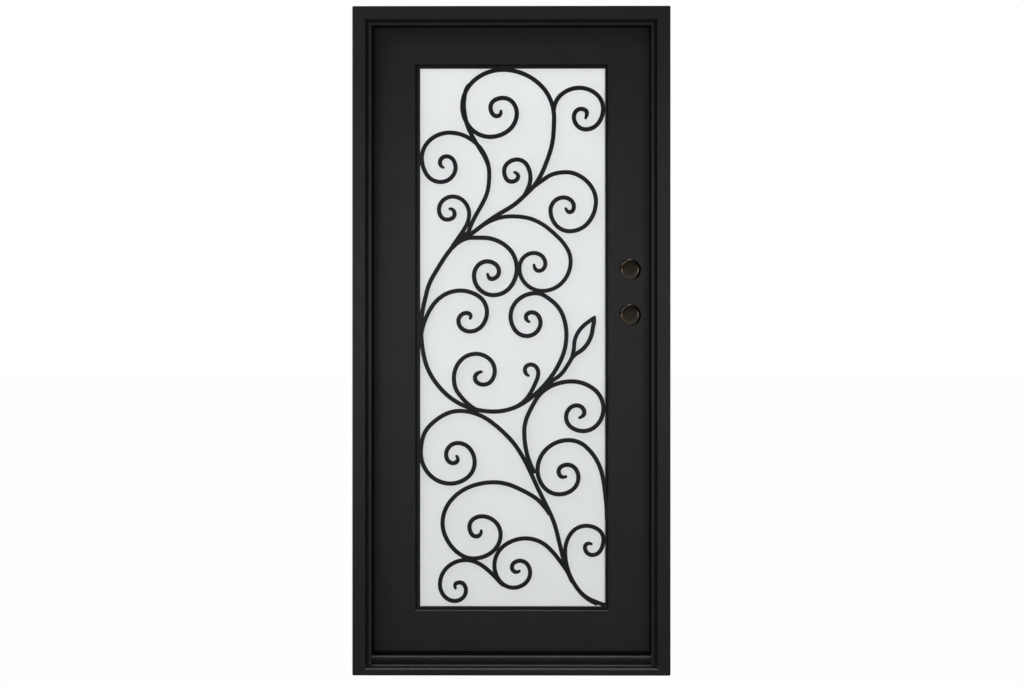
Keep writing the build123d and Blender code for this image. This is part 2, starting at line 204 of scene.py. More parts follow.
def makeBronze(name, look):
    material = newMaterial(name)
    place = addNode(material, "ShaderNodeTexCoord")
    cloud = addNode(material, "ShaderNodeTexNoise",
                    {"Scale": 1 / (look["cloudMillimetres"] * mm), "Detail": 4.0},
                    {"Vector": (place, "Object")})
    share = addNode(material, "ShaderNodeMapRange", patchRange, {"Value": (cloud, "Fac")})
    colour = addNode(material, "ShaderNodeMix",
                     {"data_type": "RGBA", 6: linearFromHex(look["cloud"]), 7: linearFromHex(look["colour"])},
                     {0: (share, "Result")})
    rough = addNode(material, "ShaderNodeMapRange",
                    {"To Min": look["roughness"] - look["roughnessSpread"],
                     "To Max": look["roughness"] + look["roughnessSpread"]}, {"Value": (share, "Result")})
    shader = addNode(material, "ShaderNodeBsdfPrincipled",
                     {"Metallic": 1.0, "Coat Weight": look["lacquer"],
                      "Coat Roughness": look["lacquerRoughness"]},
                     {"Base Color": (colour, 2), "Roughness": (rough, "Result")})
    addNode(material, "ShaderNodeOutputMaterial", links={"Surface": (shader, 0)})
    return material


# Black EPDM weather seal: dull extruded rubber with a faint bloom
sealRubber = {
    "colour": "#0a0a0b",
    "bloom": "#101011",
    "roughness": 0.8,
    "specular": 0.1,
    "bloomMillimetres": 25.0,
}


def makeRubber(name, look):
    material = newMaterial(name)
    place = addNode(material, "ShaderNodeTexCoord")
    bloom = addNode(material, "ShaderNodeTexNoise",
                    {"Scale": 1 / (look["bloomMillimetres"] * mm), "Detail": 3.0},
                    {"Vector": (place, "Object")})
    colour = addNode(material, "ShaderNodeMix",
                     {"data_type": "RGBA", 6: linearFromHex(look["colour"]), 7: linearFromHex(look["bloom"])},
                     {0: (bloom, "Fac")})
    shader = addNode(material, "ShaderNodeBsdfPrincipled",
                     {"Roughness": look["roughness"], "Specular IOR Level": look["specular"]},
                     {"Base Color": (colour, 2)})
    addNode(material, "ShaderNodeOutputMaterial", links={"Surface": (shader, 0)})
    return material


# Bright zinc screws, blackened with the hinge: the coat is thin, so the metal shows through as a dark grey
screwZinc = {
    "colour": "#3a3b3d",
    "worn": "#55575a",
    "roughness": 0.38,
    "wornMillimetres": 2.0,
    "wornRange": {"From Min": 0.5, "From Max": 0.75},
}


def makeZinc(name, look):
    material = newMaterial(name)
    place = addNode(material, "ShaderNodeTexCoord")
    worn = addNode(material, "ShaderNodeTexNoise",
                   {"Scale": 1 / (look["wornMillimetres"] * mm), "Detail": 3.0},
                   {"Vector": (place, "Object")})
    share = addNode(material, "ShaderNodeMapRange", look["wornRange"], {"Value": (worn, "Fac")})
    colour = addNode(material, "ShaderNodeMix",
                     {"data_type": "RGBA", 6: linearFromHex(look["colour"]), 7: linearFromHex(look["worn"])},
                     {0: (share, "Result")})
    shader = addNode(material, "ShaderNodeBsdfPrincipled", {"Metallic": 1.0, "Roughness": look["roughness"]},
                     {"Base Color": (colour, 2)})
    addNode(material, "ShaderNodeOutputMaterial", links={"Surface": (shader, 0)})
    return material


steelBlack = makePowderCoat("satinPowderCoat", powderCoat)
# the grille's material: the frame's coat with painted shade darkening its black
barBlack = makePowderCoat("barPowderCoatPaintedShade", shadedBarCoat)
frosted = makeEtchedGlass("acidEtchedGlass", etchedGlass)
bronze = makeBronze("oilRubbedBronze", oilRubbedBronze)
rubber = makeRubber("extrudedRubber", sealRubber)
zinc = makeZinc("blackenedZinc", screwZinc)
finishes = {
    "powder_coated_steel": steelBlack,
    "grille_bar": barBlack,
    "frosted_glass": frosted,
    "rubber_seal": rubber,
    "cover_cap": bronze,
    "hinge": steelBlack,
}
print("materials made")


def slotOf(node):
    # the record's material slot of a CAD node
    return next(part["material_slot"] for part in frame["record"]["subparts"] if part["node"] == node)


def setFinish(piece, material):
    piece.data.materials.clear()
    piece.data.materials.append(material)


def finishPiece(name, mesh, material, body, nodes, smoothDegrees):
    # puts a finished mesh in the scene: its finish, the body it rides on and the CAD nodes it stands for
    piece = bpy.data.objects.new(name, mesh)
    bpy.context.scene.collection.objects.link(piece)
    setFinish(piece, material)
    mesh.shade_smooth()
    mesh.set_sharp_from_angle(angle=math.radians(smoothDegrees))
    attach(piece, body)
    if nodes:
        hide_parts(*nodes)
    return piece


for node, piece in frame["nodes"].items():
    setFinish(piece, finishes[slotOf(node)])


def turnOutwards(mesh):
    # faces of a closed mesh all look outwards
    shell = bmesh.new()
    shell.from_mesh(mesh)
    bmesh.ops.recalc_face_normals(shell, faces=shell.faces)
    shell.to_mesh(mesh)
    shell.free()


# Steel members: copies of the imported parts, welded where the real ones are, with their edges eased
steelEdges = {
    "welded": {
        "outer_frame": ["hinge_jamb", "head_jamb", "strike_jamb", "threshold"],
        "leaf_skin": ["hinge_stile", "top_rail", "lock_stile", "bottom_rail"],
    },
    # the weld that fills the jamb's rounded edge beside the sill's nose, in millimetres
    "footWeld": {"jambFace": 40.6, "lap": 0.6, "width": 5.2, "depth": 4.4, "front": 17.0, "hair": 0.02},
    "frameRoundMillimetres": 0.7,
    "hingeRoundMillimetres": 0.5,
    "roundSteps": 3,
    "sharpDegrees": 40,
    "mergeMillimetres": 0.02,
    "flatDegrees": 0.6,
    "flatWeight": 90,
}


def mergedCopy(node, look):
    # a CAD mesh is loose triangles: the copy has its doubles merged
    shell = bmesh.new()
    shell.from_mesh(frame["nodes"][node].data)
    bmesh.ops.remove_doubles(shell, verts=shell.verts, dist=look["mergeMillimetres"] * mm)
    mesh = bpy.data.meshes.new(node)
    shell.to_mesh(mesh)
    shell.free()
    return mesh


def makeFootWelds(look):
    # a wedge at each jamb's foot, its top rising by its own depth as the nose's bevel does; each face lies
    # a hair under the steel's, so that none shares a plane with it
    weld = look["footWeld"]
    hair = weld["hair"] * mm
    inner = cadHigh[0] - (weld["jambFace"] + weld["lap"]) * mm
    outer = inner + weld["width"] * mm
    depth = np.array([hair, weld["depth"] * mm])
    top = weld["front"] * mm + depth - 2 * hair
    faces = [(0, 1, 3, 2), (4, 6, 7, 5), (0, 4, 5, 1), (2, 3, 7, 6), (0, 2, 6, 4), (1, 5, 7, 3)]
    for name, side in (("foot_weld_left", -1), ("foot_weld_right", 1)):
        points = [(side * x, cadLow[1] + y, z) for x in (inner, outer) for y, high in zip(depth, top)
                  for z in (hair, high)]
        mesh = bpy.data.meshes.new(name)
        mesh.from_pydata(points, [], faces)
        turnOutwards(mesh)
        finishPiece(name, mesh, steelBlack, "frame", [], look["sharpDegrees"])


def weldedMesh(name, nodes, look):
    # the union of the nodes' solids, so that no seam or inner face is left where they meet, with its flat
    # faces joined
    parts = [bpy.data.objects.new(node, mergedCopy(node, look)) for node in nodes]
    for part in parts:
        bpy.context.scene.collection.objects.link(part)
    for other in parts[1:]:
        union = parts[0].modifiers.new("union", "BOOLEAN")
        union.operation = "UNION"
        union.solver = "EXACT"
        union.object = other
    depsgraph = bpy.context.evaluated_depsgraph_get()
    mesh = bpy.data.meshes.new_from_object(parts[0].evaluated_get(depsgraph))
    mesh.name = name
    for part in parts:
        bpy.data.objects.remove(part)
    shell = bmesh.new()
    shell.from_mesh(mesh)
    bmesh.ops.remove_doubles(shell, verts=shell.verts, dist=look["mergeMillimetres"] * mm)
    bmesh.ops.dissolve_limit(shell, angle_limit=math.radians(look["flatDegrees"]), verts=shell.verts,
                             edges=shell.edges)
    shell.to_mesh(mesh)
    shell.free()
    return mesh


def easedPiece(name, nodes, look):
    # the welded solids with every sharp edge rounded
    slotName = slotOf(nodes[0])
    mesh = weldedMesh(name, nodes, look)
    piece = finishPiece(name, mesh, finishes[slotName], frame["nodes"][nodes[0]]["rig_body"], nodes,
                        look["sharpDegrees"])
    bevel = piece.modifiers.new("easedEdges", "BEVEL")
    bevel.width = look["hingeRoundMillimetres" if slotName == "hinge" else "frameRoundMillimetres"] * mm
    bevel.segments = look["roundSteps"]
    bevel.limit_method = "ANGLE"
    bevel.angle_limit = math.radians(look["sharpDegrees"])
    # a point's normal follows its largest face, so the broad faces shade flat and only the roundings turn
    flatFaces = piece.modifiers.new("flatFaces", "WEIGHTED_NORMAL")
    flatFaces.keep_sharp = True
    flatFaces.weight = look["flatWeight"]


def makeSteel(look):
    groups = dict(look["welded"])
    single = [node for node in sorted(frame["nodes"])
              if slotOf(node) in ("powder_coated_steel", "hinge")
              and not any(node in nodes for nodes in groups.values())]
    for node in single:
        groups[node + "_eased"] = [node]
    for name, nodes in groups.items():
        easedPiece(name, nodes, look)


makeSteel(steelEdges)
makeFootWelds(steelEdges)
print("steel welded and eased")


# Grille border: flat bar mitred round the light, let in a little below the leaf's face, with a welding gap
# round it
borderBar = {
    "leftMillimetres": 13.0,
    "rightMillimetres": 7.0,
    "topMillimetres": 12.0,
    "bottomMillimetres": 11.0,
    "gapMillimetres": 2.2,
    "sunkMillimetres": 1.6,
    "cornerMillimetres": 0.9,
    "cornerSteps": 4,
    "smoothDegrees": 30,
}


def ringFaces(rows, columns):
    # quads of a grid that is closed both ways
    r = np.arange(rows)[:, None] * columns
    nextRow = (np.arange(rows)[:, None] + 1) % rows * columns
    c = np.arange(columns)[None, :]
    n = (c + 1) % columns
    return np.stack([r + c, r + n, nextRow + n, nextRow + c], axis=-1).reshape(-1, 4)


def acrossBar(width, gap, corner, side, turn):
    # places across one side's bar: gap + half + side (half - corner) + corner cos(turn)
    half = (width - gap) / 2
    return gap + half + side * (half - corner) + corner * np.cos(turn)


def makeBorder(look):
    # a rounded oblong carried round the light's four corners
    low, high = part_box("grille_border")
    gap = look["gapMillimetres"] * mm
    front = low[1] + look["sunkMillimetres"] * mm
    angle = np.linspace(0, np.pi / 2, look["cornerSteps"])
    turn = np.concatenate([angle + k * np.pi / 2 for k in range(4)])
    sideU = np.repeat([1, -1, -1, 1], look["cornerSteps"])
    sideV = np.repeat([1, 1, -1, -1], look["cornerSteps"])
    corner = look["cornerMillimetres"] * mm
    left, right, top, bottom = (acrossBar(look[side + "Millimetres"] * mm, gap, corner, sideU, turn)
                                for side in ("left", "right", "top", "bottom"))
    halfDepth = (high[1] - front) / 2
    depth = front + halfDepth + sideV * (halfDepth - corner) + corner * np.sin(turn)
    rows = [
        np.stack([low[0] + left, depth, low[2] + bottom], axis=-1),
        np.stack([high[0] - right, depth, low[2] + bottom], axis=-1),
        np.stack([high[0] - right, depth, high[2] - top], axis=-1),
        np.stack([low[0] + left, depth, high[2] - top], axis=-1),
    ]
    mesh = bpy.data.meshes.new("grille_border_bar")
    mesh.from_pydata(np.concatenate(rows).tolist(), [], ringFaces(len(rows), len(depth)).tolist())
    turnOutwards(mesh)
    finishPiece("grille_border_bar", mesh, barBlack, "door_leaf", ["grille_border"],
                look["smoothDegrees"])


# Scroll bars: square bar with worn corners, bent on a form and drawn out to a blunt point.
# Places are (across, up, heading), in millimetres from the light's lower left corner and in degrees, where
# 90 is upwards.
scrollBars = {
    "scrolls_top_right": {
        "tallScroll": [
            (160, 1152, 34), (240, 1210, 33), (320, 1263, 43), (378, 1327, 60), (413, 1410, 72),
            (426, 1517, 90), (268, 1665, 180), (143, 1552, 270), (229, 1458, 0), (311, 1531, 90),
            (268, 1578, 180), (230, 1549, 270), (250, 1522, 0), (262, 1538, 100),
        ],
        "linkTail": [
            (160, 1492, 113), (148, 1545, 96), (151, 1590, 79), (160, 1618, 66),
        ],
        "cornerScroll": [
            (425, 1539, 88), (504, 1609, 0), (577, 1544, 270), (524, 1481, 180), (487, 1519, 90),
            (509, 1544, 0), (527, 1531, 270), (523, 1516, 240),
        ],
        "smallScroll": [
            (335, 1278, 60), (353, 1333, 90), (312, 1388, 180), (272, 1352, 270), (295, 1320, 0),
            (315, 1336, 90), (304, 1349, 160),
        ],
        "sideScroll": [
            (351, 1293, 46), (403, 1333, 35), (460, 1349, 2), (527, 1321, 316), (555, 1259, 270),
            (474, 1167, 180), (415, 1231, 90), (455, 1271, 0), (487, 1243, 270), (474, 1226, 180),
            (462, 1237, 110),
        ],
    },
    "scrolls_top_left": {
        "leftScroll": [
            (154, 1149, 60), (175, 1198, 64), (214, 1271, 66), (226, 1343, 90), (103, 1471, 180),
            (18, 1392, 270), (76, 1319, 0), (122, 1364, 90), (94, 1398, 180), (74, 1379, 270),
            (84, 1364, 340),
        ],
        "linkBar": [
            (226, 1352, 94), (209, 1401, 120), (170, 1467, 118), (146, 1540, 100),
        ],
        "lowCurl": [
            (112, 1121, 50), (142, 1163, 54), (164, 1220, 90), (113, 1274, 180), (71, 1233, 270),
            (96, 1203, 0), (119, 1220, 90), (104, 1236, 190),
        ],
    },
    "scrolls_upper_middle": {
        "rightScroll": [
            (209, 1187, 34), (295, 1213, 0), (366, 1201, 337), (442, 1145, 315), (477, 1074, 270),
            (390, 983, 180), (319, 1053, 90), (364, 1100, 0), (399, 1067, 270), (379, 1045, 180),
            (364, 1063, 95),
        ],
        "centreScroll": [
            (111, 1115, 50), (145, 1141, 25), (206, 1147, 0), (311, 1052, 270), (239, 970, 180),
            (179, 1030, 90), (220, 1074, 0), (256, 1043, 270), (233, 1020, 180), (221, 1035, 100),
        ],
        "sideStem": [
            (15, 846, 90), (23, 937, 78), (52, 1027, 60), (109, 1114, 51), (154, 1164, 45),
        ],
    },
    "scrolls_middle": {
        "greatScroll": [
            (16, 862, 270), (59, 703, 306), (95, 663, 318), (240, 611, 0), (410, 709, 52), (464, 847, 90),
            (423, 949, 140), (369, 976, 180), (292, 904, 270), (342, 844, 0), (384, 886, 90), (357, 917, 180),
            (339, 902, 270), (349, 888, 340),
        ],
        "leftScroll": [
            (15, 832, 89), (32, 903, 66), (62, 951, 47), (137, 984, 0), (219, 918, 270), (166, 858, 180),
            (131, 890, 90), (156, 915, 0), (169, 905, 270), (167, 898, 250),
        ],
        "innerLeftScroll": [
            (185, 617, 150), (129, 670, 125), (117, 715, 90), (185, 789, 0), (243, 736, 270), (208, 694, 180),
            (182, 715, 90), (202, 734, 10),
        ],
        "crotchWeld": [
            (381, 672, 43), (424, 709, 40),
        ],
        "innerRightCurl": [
            (295, 620, 20), (341, 651, 50), (363, 687, 65), (377, 731, 90), (354, 756, 180), (336, 740, 270),
            (347, 722, 340),
        ],
    },
    "leaf_bud": {
        "stem": [
            (412, 700, 40), (447, 726, 45), (471, 759, 58), (483, 781, 62),
        ],
        "leftEdge": [
            (481, 777, 75), (488, 817, 88), (506, 864, 52), (551, 903, 42),
        ],
        "rightEdge": [
            (481, 777, 50), (520, 809, 48), (544, 860, 82), (551, 903, 85),
        ],
    },
    "scrolls_lower_right": {
        "upperScroll": [
            (366, 420, 115), (343, 478, 104), (334, 549, 90), (369, 646, 59), (480, 704, 0), (578, 620, 270),
            (515, 551, 180), (463, 594, 90), (496, 630, 0), (519, 608, 270), (504, 592, 200),
        ],
        "lowerScroll": [
            (589, 278, 90), (580, 386, 98), (559, 458, 118), (471, 523, 180), (375, 431, 270), (442, 356, 0),
            (501, 408, 90), (467, 447, 180), (440, 426, 270), (454, 409, 0), (463, 411, 30),
        ],
    },
    "scrolls_lower_left": {
        "longScroll": [
            (483, 85, 118), (461, 136, 108), (433, 245, 105), (376, 374, 115), (320, 487, 122),
            (232, 579, 143), (136, 613, 180), (42, 567, 226), (15, 484, 270), (106, 389, 0), (181, 455, 90),
            (129, 514, 180), (93, 478, 270), (115, 452, 0), (129, 464, 90), (125, 474, 130),
        ],
        "roundScroll": [
            (412, 294, 118), (383, 332, 134), (351, 356, 150), (240, 393, 180), (108, 337, 230),
            (82, 268, 270), (113, 191, 311), (177, 158, 0), (261, 232, 90), (203, 288, 180), (165, 256, 270),
            (186, 226, 0), (201, 244, 100),
        ],
    },
    "scrolls_bottom": {
        "centreScroll": [
            (560, 18, 160), (510, 51, 133), (454, 137, 126), (406, 194, 138), (338, 220, 180),
            (242, 137, 270), (301, 68, 0), (352, 115, 90), (321, 151, 180), (296, 131, 270), (311, 116, 0),
            (319, 120, 40),
        ],
        "leftScroll": [
            (271, 75, 142), (231, 114, 137), (214, 129, 141), (153, 153, 180), (74, 78, 270), (120, 27, 0),
            (154, 60, 90), (135, 84, 180), (120, 74, 270), (122, 66, 300),
        ],
        "rightScroll": [
            (584, 14, 162), (506, 56, 131), (460, 180, 90), (525, 259, 0), (578, 217, 270), (544, 169, 180),
            (521, 192, 90), (534, 205, 0), (541, 203, 340),
        ],
    },
}
barSection = {
    "cornerMillimetres": 2.4,
    "cornerSteps": 4,
    "sampleDegrees": 3.0,
    "widthShare": 1.07,
    "pointMillimetres": 16.0,
    "pointWidthMillimetres": 8.0,
    "noseDegrees": [18, 36, 54, 70, 82],
    "noseFlattening": 0.3,
    "stepBackMillimetres": 0.05,
    "stepsBack": 9,
    "smoothDegrees": 40,
    # bars that end inside another bar, so they have no point
    "joiningBars": ["linkBar", "sideStem", "stem", "crotchWeld"],
}


def arcPlaces(start, way, end, stepDegrees):
    # arc from start along way to end, as complex places and ways: start + way r (exp(i turn) - 1) / i
    turn = 2 * np.angle((end - start) / way)
    if abs(turn) < 1e-6:
        return np.array([end]), np.array([way])
    steps = max(1, int(np.ceil(abs(turn) / np.radians(stepDegrees))))
    turned = np.exp(1j * turn * np.arange(1, steps + 1) / steps)
    radius = abs(end - start) / (2 * np.sin(turn / 2))
    return start + way * radius * (turned - 1) / 1j, way * turned


def middleOfBend(start, startWay, end, endWay):
    # where a bend's two arcs meet when their tangents have one length t:
    # the middle of start + t startWay and end - t endWay, with t from |end - start + t (...)| = 2 t
    chord = end - start
    along = (chord * np.conj(startWay + endWay)).real
    spread = 2 - 2 * (startWay * np.conj(endWay)).real
    if spread < 1e-9:
        tangent = abs(chord) ** 2 / (2 * along)
    else:
        tangent = (np.sqrt(along ** 2 + spread * abs(chord) ** 2) - along) / spread
    return (start + end + tangent * (startWay - endWay)) / 2


def barLine(places, corner, stepDegrees):
    # centre line of a bar: two arcs lead from each place to the next
    table = np.array(places, float)
    spots = corner + (table[:, 0] + 1j * table[:, 1]) * mm
    headings = np.exp(1j * np.radians(table[:, 2]))
    line = [spots[:1]]
    ways = [headings[:1]]
    for start, end, startWay, endWay in zip(spots, spots[1:], headings, headings[1:]):
        middle = middleOfBend(start, startWay, end, endWay)
        for bendStart, bendEnd in ((start, middle), (middle, end)):
            way = startWay if bendStart is start else ways[-1][-1]
            arcSpots, arcWays = arcPlaces(bendStart, way, bendEnd, stepDegrees)
            line.append(arcSpots)
            ways.append(arcWays)
    return np.concatenate(line), np.concatenate(ways)


def roundedSquare(half, corner, steps):
    # section of the bar: four quarter circles of the corner's radius, anticlockwise
    angle = np.linspace(0, np.pi / 2, steps)
    quarters = [np.exp(1j * (angle + k * np.pi / 2)) * corner + (half - corner) * (1 + 1j) * 1j ** k
                for k in range(4)]
    return np.concatenate(quarters)


def barSurface(line, ways, pointed, depthMiddle, half, look):
    # the section carried along the line: place + i way u w(s) across the bar, and v in depth;
    # the width w(s) falls to the point's over its last stretch, and the end closes over a quarter circle
    section = roundedSquare(1.0, look["cornerMillimetres"] * mm / half, look["cornerSteps"])
    gaps = np.abs(np.diff(line))
    toEnd = np.concatenate([np.cumsum(gaps[::-1])[::-1], [0.0]])
    width = np.full(len(line), 1.0)
    depth = np.full(len(line), 1.0)
    if pointed:
        narrow = look["pointWidthMillimetres"] * mm / (2 * half)
        width = np.minimum(1.0, narrow + (1 - narrow) * toEnd / (look["pointMillimetres"] * mm))
        nose = np.sin(np.radians(look["noseDegrees"]))
        line = np.concatenate([line, line[-1] + ways[-1] * narrow * half * nose])
        width = np.concatenate([width, narrow * np.sqrt(1 - nose ** 2)])
        depth = np.concatenate([depth, 1 - look["noseFlattening"] * nose ** 4])
        ways = np.concatenate([ways, np.full(len(nose), ways[-1])])
    across = section.real[None, :] * width[:, None] * half * look["widthShare"]
    inwards = section.imag[None, :] * depth[:, None] * half
    flat = line[:, None] + 1j * ways[:, None] * across
    return np.stack([flat.real, depthMiddle + inwards, flat.imag], axis=-1)


def gridFaces(rows, columns, first):
    # quads of a grid that is closed round its columns, and a face over each end
    r = np.arange(rows - 1)[:, None] * columns
    c = np.arange(columns)[None, :]
    n = (c + 1) % columns
    quads = np.stack([r + c, r + n, r + columns + n, r + columns + c], axis=-1).reshape(-1, 4) + first
    ends = [list(range(first + columns - 1, first - 1, -1)),
            list(range(first + (rows - 1) * columns, first + rows * columns))]
    return quads.tolist() + ends


def gridPiece(name, surfaces, material, body, nodes, smoothDegrees):
    # one piece from several closed grids of points, each with its rows first
    points = []
    faces = []
    count = 0
    for surface in surfaces:
        rows, columns = surface.shape[:2]
        points.append(surface.reshape(-1, 3))
        faces += gridFaces(rows, columns, count)
        count += rows * columns
    mesh = bpy.data.meshes.new(name)
    mesh.from_pydata(np.concatenate(points).tolist(), [], faces)
    turnOutwards(mesh)
    finishPiece(name, mesh, material, body, nodes, smoothDegrees)


def makeScrolls(look):
    # one piece for each group of scrolls; each bar is a hair thinner than the one before, in nine steps that
    # repeat, so that neighbours in the table share no plane
    low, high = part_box("grille_border")
    corner = complex(low[0], low[2])
    depthMiddle = (low[1] + high[1]) / 2
    half = (high[1] - low[1]) / 2
    order = 0
    for group, bars in scrollBars.items():
        surfaces = []
        for name, places in bars.items():
            line, ways = barLine(places, corner, look["sampleDegrees"])
            thinner = half - (order % look["stepsBack"]) * look["stepBackMillimetres"] * mm
            pointed = name not in look["joiningBars"]
            surfaces.append(barSurface(line, ways, pointed, depthMiddle, thinner, look))
            order += 1
        gridPiece(group + "_bars", surfaces, barBlack, "door_leaf", [group],
                  look["smoothDegrees"])


makeBorder(borderBar)
makeScrolls(barSection)
print("scrolls made")


# Lock bore caps: turned discs with a flat face, a bevel and a rolled rim, one over each bore on each side
boreCap = {
    "radiusMillimetres": 33.0,
    "thickMillimetres": 6.0,
    "segments": 96,
    "smoothDegrees": 60,
    # radius as a share of the cap's, height as a share of its thickness
    "profile": [(0.99, 0.0), (1.0, 0.03), (0.985, 0.14), (0.955, 0.34), (0.92, 0.51), (0.88, 0.65),
                (0.84, 0.77), (0.80, 0.865), (0.76, 0.935), (0.715, 0.98), (0.66, 1.0), (0.30, 1.0),
                (0.02, 1.0)],
}


def turnedSurface(profile, radius, thickness, segments, centre, outwards):
    # surface of revolution about a line along Y: (x, z) = centre + radius (cos, sin), y = foot + height
    reach, height = np.array(profile).T
    angle = np.linspace(0, 2 * np.pi, segments, endpoint=False)
    x = centre[0] + reach[:, None] * radius * np.cos(angle)
    z = centre[2] + reach[:, None] * radius * np.sin(angle)
    y = np.broadcast_to(centre[1] + outwards * height[:, None] * thickness, x.shape)
    return np.stack([x, y, z], axis=-1)


def makeCaps(look):
    radius = look["radiusMillimetres"] * mm
    for node, outwards in (("lock_bore_caps_outside", -1), ("lock_bore_caps_inside", 1)):
        low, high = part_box(node)
        foot = high[1] if outwards < 0 else low[1]
        middle = (low[0] + high[0]) / 2
        surfaces = [turnedSurface(look["profile"], radius, look["thickMillimetres"] * mm, look["segments"],
                                  (middle, foot, height), outwards)
                    for height in (low[2] + radius, high[2] - radius)]
        gridPiece(node + "_turned", surfaces, bronze, "door_leaf", [node], look["smoothDegrees"])


makeCaps(boreCap)
print("caps made")


# Weather seals: a flat foot that is held behind the stop, and a round bulb towards the leaf
bulbSeal = {
    # share of the strip's width from its outer edge, share of its thickness from the stop
    "foot": [(0.0, 0.0), (1.0, 0.0), (1.0, 0.28), (0.93, 0.36)],
    "bulbCentre": (0.62, 0.52),
    "bulbRadii": (0.30, 0.48),
    "bulbFromDegrees": -20,
    "bulbToDegrees": 200,
    "bulbSteps": 15,
    "heel": [(0.22, 0.36), (0.04, 0.36), (0.0, 0.28)],
    "smoothDegrees": 50,
}


def sealProfile(look):
    # the foot's outline, an ellipse's arc for the bulb, and back along the heel
    angle = np.radians(np.linspace(look["bulbFromDegrees"], look["bulbToDegrees"], look["bulbSteps"]))
    bulb = np.stack([look["bulbCentre"][0] + look["bulbRadii"][0] * np.cos(angle),
                     look["bulbCentre"][1] + look["bulbRadii"][1] * np.sin(angle)], axis=-1)
    return np.concatenate([look["foot"], bulb, look["heel"]])


def makeSeals(look):
    # each strip runs between its two mitres: a point at inset u from the ring's outer edge stays at u.
    # Known fault: the sill's inset is scaled twice, so its strip is 2.95 mm taller than its solid.
    sides = {"seal_hinge_side": (0, 3), "seal_strike_side": (1, 2), "seal_head": (3, 2), "seal_sill": (0, 1)}
    boxes = {node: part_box(node) for node in sides}
    left = boxes["seal_hinge_side"][0][0]
    right = boxes["seal_strike_side"][1][0]
    bottom = boxes["seal_sill"][0][2]
    top = boxes["seal_head"][1][2]
    low, high = boxes["seal_head"]
    width = high[2] - low[2]
    profile = sealProfile(look)
    for node, (first, last) in sides.items():
        nodeLow, nodeHigh = boxes[node]
        inset = profile[:, 0] * (nodeHigh[2] - nodeLow[2] if node == "seal_sill" else width)
        depth = low[1] + profile[:, 1] * (high[1] - low[1])
        sillInset = inset * (boxes["seal_sill"][1][2] - boxes["seal_sill"][0][2]) / width
        corners = [
            np.stack([left + inset, depth, bottom + sillInset], axis=-1),
            np.stack([right - inset, depth, bottom + sillInset], axis=-1),
            np.stack([right - inset, depth, top - inset], axis=-1),
            np.stack([left + inset, depth, top - inset], axis=-1),
        ]
        surface = np.stack([corners[first], corners[last]])
        gridPiece(node + "_strip", [surface], rubber, frame["nodes"][node]["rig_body"], [node],
                  look["smoothDegrees"])


makeSeals(bulbSeal)


# Door sweep: an extruded rubber comb under the leaf, with blunt fins that point at the sill
finSweep = {
    "fins": 6,
    "finShare": 0.42,
    "plateShare": 0.3,
    "tipSteps": 5,
    "smoothDegrees": 50,
}


def makeSweep(look):
    # outline of a plate with rounded fins below it, carried across the leaf
    low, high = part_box("door_sweep")
    pitch = (high[1] - low[1]) / look["fins"]
    plateLow = high[2] - look["plateShare"] * (high[2] - low[2])
    tipRadius = look["finShare"] * pitch / 2
    angle = np.linspace(np.pi, 2 * np.pi, look["tipSteps"])
    outline = [(low[1], high[2]), (low[1], plateLow)]
    for index in range(look["fins"]):
        middle = low[1] + (index + 0.5) * pitch
        outline.append((middle - tipRadius, plateLow))
        outline += zip(middle + tipRadius * np.cos(angle), low[2] + tipRadius * (1 + np.sin(angle)))
        outline.append((middle + tipRadius, plateLow))
    outline += [(high[1], plateLow), (high[1], high[2])]
    depth, height = np.array(outline).T
    ends = [np.stack([np.full(len(depth), x), depth, height], axis=-1) for x in (low[0], high[0])]
    gridPiece("door_sweep_comb", [np.stack(ends)], rubber, "door_leaf", ["door_sweep"],
              look["smoothDegrees"])


makeSweep(finSweep)
print("seals made")


# Hinge screws: flat heads let into the plates, with a round driver recess
hingeScrew = {
    "radiusMillimetres": 4.2,
    "proudMillimetres": 0.5,
    "segments": 32,
    "perPlate": 3,
    "plateHeightMillimetres": 101.6,
    "plateThickMillimetres": 3.0,
    "endMillimetres": 16.0,
    "edgeMillimetres": 13.0,
    "smoothDegrees": 40,
    # radius as a share of the head's, height as a share of what stands proud
    "profile": [(0.96, -0.6), (1.0, 0.0), (0.98, 0.55), (0.90, 0.95), (0.80, 1.0), (0.44, 1.0), (0.40, 0.6),
                (0.38, -0.4), (0.02, -0.4)],
}


def makeScrews(look):
    # a column of turned heads on each hinge plate, on the side away from the knuckle
    radius = look["radiusMillimetres"] * mm
    proud = look["proudMillimetres"] * mm
    edge = look["edgeMillimetres"] * mm
    end = look["endMillimetres"] * mm
    for node in sorted(frame["nodes"]):
        if slotOf(node) != "hinge":
            continue
        low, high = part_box(node)
        plateFace = low[1] + look["plateThickMillimetres"] * mm
        column = low[0] + edge if node.endswith("_frame") else high[0] - edge
        plateTop = low[2] + look["plateHeightMillimetres"] * mm
        heights = np.linspace(low[2] + end, plateTop - end, look["perPlate"])
        places = [(column, plateFace, height) for height in heights]
        surfaces = [turnedSurface(look["profile"], radius, proud, look["segments"], place, 1)
                    for place in places]
        gridPiece(node + "_screws", surfaces, zinc, frame["nodes"][node]["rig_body"], [],
                  look["smoothDegrees"])


makeScrews(hingeScrew)
print("screws made")


# Camera: as the photograph, a long lens level with the middle of the door, a little to the right of it
viewpoint = {
    "distance": 20.0,
    "right": 0.4,
    "millimetresPerPixel": 3.0715,
    "imageWidth": 1024,
    "imageHeight": 683,
    "centreColumn": 511.32,
    "floorRow": 675.6,
    "sensorMillimetres": 36.0,
    "farthest": 200,
}


